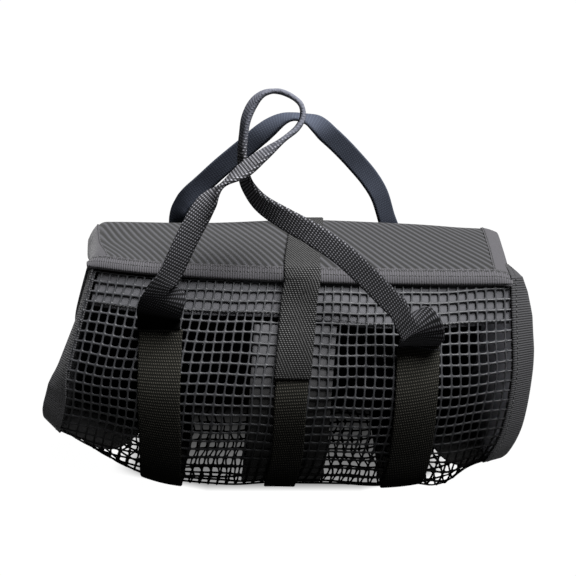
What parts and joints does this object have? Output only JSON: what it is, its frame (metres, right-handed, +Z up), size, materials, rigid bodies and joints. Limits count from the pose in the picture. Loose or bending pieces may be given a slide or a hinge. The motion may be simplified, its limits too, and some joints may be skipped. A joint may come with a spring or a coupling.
{
  "type": "fishing jig bag",
  "caption": "Soft net bag for fishing jigs, with a twill flap lid, bound end seams, webbing straps round it and folded webbing carrying handles.",
  "frame": {"origin": "middle of the bag's outline on the ground", "axes": "+X along the bag, +Y to its back, +Z up"},
  "size_m": [0.3532, 0.1882, 0.2842],
  "materials": {
    "net": "coated net, satin",
    "twill": "coarse twill",
    "tape": "ribbed binding tape",
    "lining": "plain cloth",
    "webbing": "woven webbing"
  },
  "bodies": {
    "root": {"net_panel": "net", "back_panel": "twill", "flap_panel": "twill", "end_panel_left": "twill", "end_panel_right": "twill", "flap_binding": "tape", "end_binding_left": "tape", "end_binding_right": "tape", "inner_top_band": "lining", "inner_centre_band": "lining", "girth_strap_left": "webbing", "girth_strap_right": "webbing", "centre_strap": "webbing", "closure_strap": "webbing", "front_handle": "webbing", "back_handle": "webbing"}
  },
  "joints": []
}
